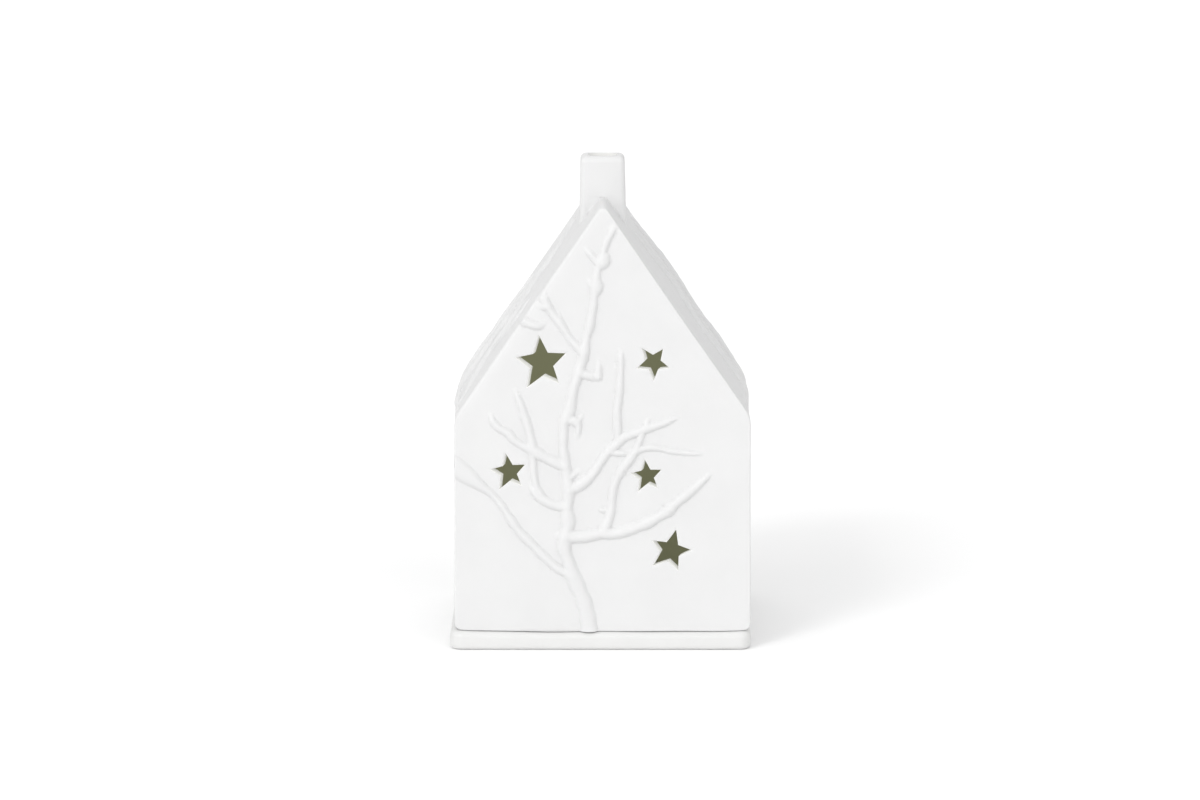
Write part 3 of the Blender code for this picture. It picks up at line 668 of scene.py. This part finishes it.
def buildCup(foil):
    outer = cupHigh[0]
    side = outer - candle["rimInset"] * mm  # outside of the wall under the rolled rim
    footSide = side - candle["footInset"] * mm
    thin = candle["foil"] * mm
    bend = candle["footRound"] * mm
    top = cupHigh[2]
    low = cupLow[2]
    roll = candle["rimRoll"] * mm
    points = [(0, low), (footSide - bend, low)]
    points += arc(footSide - bend, low + bend, bend, -90, 0, 5)[1:]
    points += [(side, top - 4 * roll)]
    points += arc(side, top - roll, roll, -90, 90, 6)
    points += arc(side - 0.15 * mm, top - roll, roll, 90, 180, 4)[1:]
    points += [(side - thin, top - 5 * roll), (footSide - thin, low + bend)]
    points += arc(footSide - bend, low + bend, bend - thin, 0, -90, 4)[1:]
    points += [(0, low + thin)]
    cup = spinProfile("candle_cup", points, foil, candle["segments"])
    middle = (low + top) / 2
    for vert in cup.data.vertices:
        radius = math.hypot(vert.co.x, vert.co.y)
        if radius < footSide - 2 * bend:
            continue
        angle = math.atan2(vert.co.y, vert.co.x)
        fade = max(0.0, 1 - abs(vert.co.z - middle) / (0.42 * (top - low)))
        push = candle["wrinkle"] * mm * fade * math.sin(candle["wrinkles"] / 2 * angle)
        vert.co.x -= max(0.0, push) * math.cos(angle)
        vert.co.y -= max(0.0, push) * math.sin(angle)
    smoothShade(cup, 50)
    return cup


def buildWax(paraffin):
    # hollowed underneath for the wick's holder, and slightly dished where it cooled
    radius = waxHigh[0]
    top = waxHigh[2]
    low = waxLow[2]
    footRadius = radius - candle["footTaper"] * mm
    plate, neck, bore = (holder[name] * mm for name in ("plate", "neck", "bore"))
    plateTop = low + holder["plateHeight"] * mm
    neckTop = low + holder["neckHeight"] * mm
    points = [(plate, low), (footRadius, low), (radius - 0.1 * mm, top - 0.7 * mm)]
    points += [(radius - 0.4 * mm, top - 0.15 * mm), (radius - 1.2 * mm, top - 0.05 * mm)]
    points += [(radius * 0.75, top - 0.12 * mm), (radius * 0.45, top - 0.35 * mm)]
    points += [(radius * 0.2, top - 0.55 * mm), (2.2 * mm, top - 0.4 * mm), (bore, top - 0.2 * mm)]
    points += [(bore, neckTop), (neck, neckTop), (neck, plateTop), (plate, plateTop)]
    wax = spinProfile("candle_wax", points, paraffin, candle["segments"], closed=True)
    smoothShade(wax, 50)
    return wax


def buildWick(cotton):
    # three braided strands, waxed together, the free end bent over
    surface = waxHigh[2]
    radius = 0.8 * mm
    lean = wickHigh[0] - radius
    bm = bmesh.new()
    rings = []
    steps = 60
    for step in range(steps + 1):
        share = step / steps
        z = wickLow[2] + (wickHigh[2] - wickLow[2]) * share
        free = max(0.0, (z - surface) / (wickHigh[2] - surface))
        turn = Matrix.Rotation(share * 22, 4, "Z")
        centre = Matrix.Translation((lean * free ** 1.8, 0, z))
        ring = bmesh.ops.create_circle(bm, segments=18, radius=radius, matrix=centre @ turn)
        for index, vert in enumerate(ring["verts"]):
            lobe = 0.80 + 0.17 * abs(math.cos(1.5 * math.tau * index / 18))
            middle = centre.translation
            vert.co = middle + (vert.co - middle) * lobe * (1 - 0.25 * free ** 6)
        rings.append(list({edge for vert in ring["verts"] for edge in vert.link_edges}))
    for first, second in zip(rings, rings[1:]):
        bmesh.ops.bridge_loops(bm, edges=first + second)
    bmesh.ops.holes_fill(bm, edges=[e for e in bm.edges if e.is_boundary], sides=0)
    bmesh.ops.recalc_face_normals(bm, faces=bm.faces[:])
    wick = newObject("candle_wick", bm, [cotton])
    smoothShade(wick, 60)
    return wick


bisqueLook = {"light": "#d6d6d6", "shade": "#d4d4d4", "cloudSize": 14 * mm, "grainSize": 0.35 * mm,
              "rough": (0.50, 0.62), "grainHeight": 0.010 * mm, "dimpleSize": 3.5 * mm,
              "dimpleHeight": 0.030 * mm}
trayLook = dict(bisqueLook, light="#d6d6d5", shade="#d4d4d3")


def bisquePorcelain(name, look):
    # unglazed slip-cast porcelain, sponged before firing: chalk white, satin, a faint
    # cloudiness and a sugar-fine grain that softens every highlight
    material, tree, shader, place = startMaterial(name)
    cloud = addNode(tree, "TexNoise", {"Scale": 1 / look["cloudSize"], "Detail": 3.0,
                                       "Roughness": 0.5}, {"Vector": place})
    tone = addNode(tree, "ValToRGB", links={"Fac": cloud.outputs["Fac"]})
    tone.color_ramp.elements[0].position = 0.35
    tone.color_ramp.elements[0].color = hexColour(look["shade"])
    tone.color_ramp.elements[1].position = 0.65
    tone.color_ramp.elements[1].color = hexColour(look["light"])
    tree.links.new(tone.outputs["Color"], shader.inputs["Base Color"])
    grain = addNode(tree, "TexNoise", {"Scale": 1 / look["grainSize"], "Detail": 2.0},
                    {"Vector": place})
    rough = addNode(tree, "MapRange", {"To Min": look["rough"][0], "To Max": look["rough"][1]},
                    {"Value": grain.outputs["Fac"]})
    tree.links.new(rough.outputs["Result"], shader.inputs["Roughness"])
    dimple = addNode(tree, "TexNoise", {"Scale": 1 / look["dimpleSize"], "Detail": 1.5},
                     {"Vector": place})
    soft = addNode(tree, "Bump", {"Strength": 1.0, "Distance": look["dimpleHeight"]},
                   {"Height": dimple.outputs["Fac"]})
    fine = addNode(tree, "Bump", {"Strength": 1.0, "Distance": look["grainHeight"]},
                   {"Height": grain.outputs["Fac"], "Normal": soft.outputs["Normal"]})
    tree.links.new(fine.outputs["Normal"], shader.inputs["Normal"])
    shader.inputs["IOR"].default_value = 1.5
    shader.inputs["Specular IOR Level"].default_value = 0.35
    shader.inputs["Subsurface Weight"].default_value = 0.12
    shader.inputs["Subsurface Radius"].default_value = (1.0, 1.0, 0.97)
    shader.inputs["Subsurface Scale"].default_value = 0.8 * mm
    return material


# the inner face's darker olive colour is painted shade, and its glow is painted light
innerShadeGlowLook = {"colour": "#b9b9a6", "paintedGlow": "#8f9078", "paintedGlowStrength": 0.30, "speckSize": 6 * mm,
              "paintedGlowLow": 0.72, "paintedGlowHigh": 1.12}


def innerShadeGlowPorcelain(name, look):
    # the cast inner face: grey-olive white, darker than the outside as painted shade for the dim
    # hollow; a painted glow, stronger towards the upper left, stands in for light through the wall
    material, tree, shader, place = startMaterial(name)
    pour = addNode(tree, "TexNoise", {"Scale": 1 / look["speckSize"], "Detail": 2.0},
                   {"Vector": place})
    rough = addNode(tree, "MapRange", {"To Min": 0.6, "To Max": 0.75},
                    {"Value": pour.outputs["Fac"]})
    tree.links.new(rough.outputs["Result"], shader.inputs["Roughness"])
    uneven = addNode(tree, "Bump", {"Strength": 1.0, "Distance": 0.08 * mm},
                     {"Height": pour.outputs["Fac"]})
    tree.links.new(uneven.outputs["Normal"], shader.inputs["Normal"])
    parts = addNode(tree, "SeparateXYZ", links={"Vector": place})
    across = addNode(tree, "MapRange", {"From Min": 50 * mm, "From Max": -50 * mm,
                                        "To Min": 0.0, "To Max": 0.4},
                     {"Value": parts.outputs["X"]})
    up = addNode(tree, "MapRange", {"From Min": 5 * mm, "From Max": 90 * mm,
                                    "To Min": 0.0, "To Max": 0.6},
                 {"Value": parts.outputs["Z"]})
    total = addNode(tree, "Math", {"operation": "ADD"}, {0: across.outputs["Result"],
                                                         1: up.outputs["Result"]})
    # painted glow: emission, stronger towards the upper left where the light falls
    paintedGlow = addNode(tree, "MapRange", {"To Min": look["paintedGlowLow"] * look["paintedGlowStrength"],
                                      "To Max": look["paintedGlowHigh"] * look["paintedGlowStrength"]},
                   {"Value": total.outputs["Value"]})
    tree.links.new(paintedGlow.outputs["Result"], shader.inputs["Emission Strength"])
    # darker olive base colour: painted shade for the hollow
    shader.inputs["Base Color"].default_value = hexColour(look["colour"])
    shader.inputs["Emission Color"].default_value = hexColour(look["paintedGlow"])
    return material


# painted light on the collar and the star cuts: a slightly lighter colour and an emission glow
throatLook = {"colour": "#dededc", "paintedGlow": "#f4f4f2", "paintedGlowStrength": 0.09, "grainSize": 0.5 * mm}
cutLook = dict(throatLook, colour="#d8d8d5", paintedGlow="#f0f0ee", paintedGlowStrength=0.14)


def paintedGlowPorcelain(name, look):
    # the same bisque where it is cut thin, in the chimney's collar and round the stars: pale
    # and satin, a touch lighter than the walls and with a painted glow, both painted light on these
    # shaded faces
    material, tree, shader, place = startMaterial(name)
    grain = addNode(tree, "TexNoise", {"Scale": 1 / look["grainSize"], "Detail": 2.0},
                    {"Vector": place})
    rough = addNode(tree, "MapRange", {"To Min": 0.55, "To Max": 0.68},
                    {"Value": grain.outputs["Fac"]})
    tree.links.new(rough.outputs["Result"], shader.inputs["Roughness"])
    fine = addNode(tree, "Bump", {"Strength": 1.0, "Distance": 0.012 * mm},
                   {"Height": grain.outputs["Fac"]})
    tree.links.new(fine.outputs["Normal"], shader.inputs["Normal"])
    # painted glow: emission that lightens faces lying in shade
    shader.inputs["Base Color"].default_value = hexColour(look["colour"])
    shader.inputs["Emission Color"].default_value = hexColour(look["paintedGlow"])
    shader.inputs["Emission Strength"].default_value = look["paintedGlowStrength"]
    return material


def drawnAluminium(name):
    # thin foil deep-drawn into a cup: bright, with fine vertical drawing lines
    material, tree, shader, place = startMaterial(name)
    stretch = addNode(tree, "Mapping", {"Scale": (1.0, 1.0, 0.06)}, {"Vector": place})
    lines = addNode(tree, "TexNoise", {"Scale": 1 / (0.5 * mm), "Detail": 3.0},
                    {"Vector": stretch.outputs["Vector"]})
    rough = addNode(tree, "MapRange", {"To Min": 0.22, "To Max": 0.42},
                    {"Value": lines.outputs["Fac"]})
    tree.links.new(rough.outputs["Result"], shader.inputs["Roughness"])
    scratch = addNode(tree, "Bump", {"Strength": 1.0, "Distance": 0.008 * mm},
                      {"Height": lines.outputs["Fac"]})
    tree.links.new(scratch.outputs["Normal"], shader.inputs["Normal"])
    shader.inputs["Base Color"].default_value = hexColour("#e3e5e6")
    shader.inputs["Metallic"].default_value = 1.0
    return material


def paraffinWax(name):
    # poured paraffin: milky, slightly translucent, with faint crystal mottling
    material, tree, shader, place = startMaterial(name)
    crystals = addNode(tree, "TexVoronoi", {"Scale": 1 / (2.5 * mm), "Randomness": 1.0},
                       {"Vector": place})
    tone = addNode(tree, "ValToRGB", links={"Fac": crystals.outputs["Distance"]})
    tone.color_ramp.elements[0].color = hexColour("#f6f3ea")
    tone.color_ramp.elements[1].color = hexColour("#ece8dc")
    tree.links.new(tone.outputs["Color"], shader.inputs["Base Color"])
    dents = addNode(tree, "Bump", {"Strength": 1.0, "Distance": 0.03 * mm},
                    {"Height": crystals.outputs["Distance"]})
    tree.links.new(dents.outputs["Normal"], shader.inputs["Normal"])
    shader.inputs["Roughness"].default_value = 0.38
    shader.inputs["IOR"].default_value = 1.44
    shader.inputs["Subsurface Weight"].default_value = 0.35
    shader.inputs["Subsurface Radius"].default_value = (1.0, 0.85, 0.65)
    shader.inputs["Subsurface Scale"].default_value = 2.0 * mm
    return material


def waxedCotton(name):
    # braided cotton dipped in wax: off-white, slanted strands 0.4 mm apart
    material, tree, shader, place = startMaterial(name)
    strands = addNode(tree, "TexWave", {"Scale": 1 / (2.4 * mm), "Distortion": 2.0,
                                        "Detail": 2.0}, {"Vector": place})
    tone = addNode(tree, "ValToRGB", links={"Fac": strands.outputs["Fac"]})
    tone.color_ramp.elements[0].color = hexColour("#d8d2c2")
    tone.color_ramp.elements[1].color = hexColour("#efebe0")
    tree.links.new(tone.outputs["Color"], shader.inputs["Base Color"])
    twist = addNode(tree, "Bump", {"Strength": 1.0, "Distance": 0.08 * mm},
                    {"Height": strands.outputs["Fac"]})
    tree.links.new(twist.outputs["Normal"], shader.inputs["Normal"])
    shader.inputs["Roughness"].default_value = 0.8
    return material


def tinnedSteel(name):
    # rolled tinplate: dull silver with a slight spangle
    material, tree, shader, place = startMaterial(name)
    spangle = addNode(tree, "TexVoronoi", {"Scale": 1 / (1.2 * mm)}, {"Vector": place})
    rough = addNode(tree, "MapRange", {"To Min": 0.28, "To Max": 0.45},
                    {"Value": spangle.outputs["Distance"]})
    tree.links.new(rough.outputs["Result"], shader.inputs["Roughness"])
    shader.inputs["Base Color"].default_value = hexColour("#cfcfcb")
    shader.inputs["Metallic"].default_value = 1.0
    return material


skin = bisquePorcelain("bisque porcelain", bisqueLook)
traySkin = bisquePorcelain("tray bisque porcelain", trayLook)
inside = innerShadeGlowPorcelain("inner porcelain with painted shade and glow", innerShadeGlowLook)
throat = paintedGlowPorcelain("collar porcelain with painted glow", throatLook)
cut = paintedGlowPorcelain("cut porcelain edge with painted glow", cutLook)
shell = buildHouse(skin, inside, throat, cut)
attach(shell, "house")
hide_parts("house")
print("house shell:", len(shell.data.polygons), "faces")

plate = buildTray(traySkin)
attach(plate, "tray")
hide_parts("base_tray")
print("tray:", len(plate.data.polygons), "faces")

cup = buildCup(drawnAluminium("drawn aluminium"))
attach(cup, "tealight")
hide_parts("tealight_cup")
wax = buildWax(paraffinWax("paraffin wax"))
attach(wax, "tealight")
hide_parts("tealight_wax")
wick = buildWick(waxedCotton("waxed cotton"))
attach(wick, "tealight")
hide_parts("wick")
tin = tinnedSteel("tinned steel")
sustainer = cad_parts["wick_sustainer"]
for slot in sustainer.material_slots:
    slot.material = tin
print("tealight: cup, wax, wick and sustainer")


stage = {"floorSize": 12.0, "floorColour": "#f7f7f7", "world": 0.65}
# soft lights: degrees left of the camera, degrees up, how wide it looks, strength
lamps = {
    "key": (35, 35, 17, 0.65),
    "front": (0, 12, 50, 0.19),
    "leftFill": (45, 20, 60, 0.88),
    "rightFill": (-40, 25, 60, 0.65),
    "top": (0, 88, 60, 0.28),
    "back": (180, 40, 60, 0.46),
}


def paperSweep(name):
    # seamless white paper: flat and matt
    material, tree, shader, place = startMaterial(name)
    fibre = addNode(tree, "TexNoise", {"Scale": 400.0, "Detail": 2.0}, {"Vector": place})
    rough = addNode(tree, "MapRange", {"To Min": 0.85, "To Max": 0.95},
                    {"Value": fibre.outputs["Fac"]})
    tree.links.new(rough.outputs["Result"], shader.inputs["Roughness"])
    shader.inputs["Base Color"].default_value = hexColour(stage["floorColour"])
    shader.inputs["Specular IOR Level"].default_value = 0.0
    return material


def buildFloor():
    bm = bmesh.new()
    bmesh.ops.create_grid(bm, x_segments=1, y_segments=1, size=stage["floorSize"] / 2)
    floor = newObject("paper_floor", bm, [paperSweep("white paper")])


def softLamp(name, aside, up, width, strength):
    light = bpy.data.lights.new(name, "SUN")
    light.energy = strength
    light.angle = math.radians(width)
    lamp = bpy.data.objects.new(name, light)
    aside, up = math.radians(aside), math.radians(up)
    toLamp = Vector((-math.sin(aside) * math.cos(up), -math.cos(aside) * math.cos(up),
                     math.sin(up)))
    lamp.location = toLamp * 3.0
    lamp.rotation_euler = toLamp.to_track_quat("Z", "Y").to_euler()
    bpy.context.collection.objects.link(lamp)


def lightScene():
    world = bpy.data.worlds.new("studio")
    world.use_nodes = True
    background = world.node_tree.nodes["Background"]
    background.inputs["Color"].default_value = (1.0, 1.0, 1.0, 1.0)
    background.inputs["Strength"].default_value = stage["world"]
    bpy.context.scene.world = world
    for name, setting in lamps.items():
        softLamp(name, *setting)


view = {"place": (-0.14, -1393.5, 314.1), "pitch": 9.785, "lens": 129.17}


def placeCamera():
    camera = bpy.data.cameras.new("camera")
    camera.sensor_width = 36.0
    camera.lens = view["lens"]
    camera.clip_start = 0.05
    eye = bpy.data.objects.new("camera", camera)
    eye.location = Vector(view["place"]) * mm
    eye.rotation_euler = (math.radians(90 - view["pitch"]), 0, 0)
    bpy.context.collection.objects.link(eye)
    bpy.context.scene.camera = eye


buildFloor()
lightScene()
placeCamera()
bpy.context.scene.view_settings.view_transform = "Standard"
print("stage: floor, lights and camera")
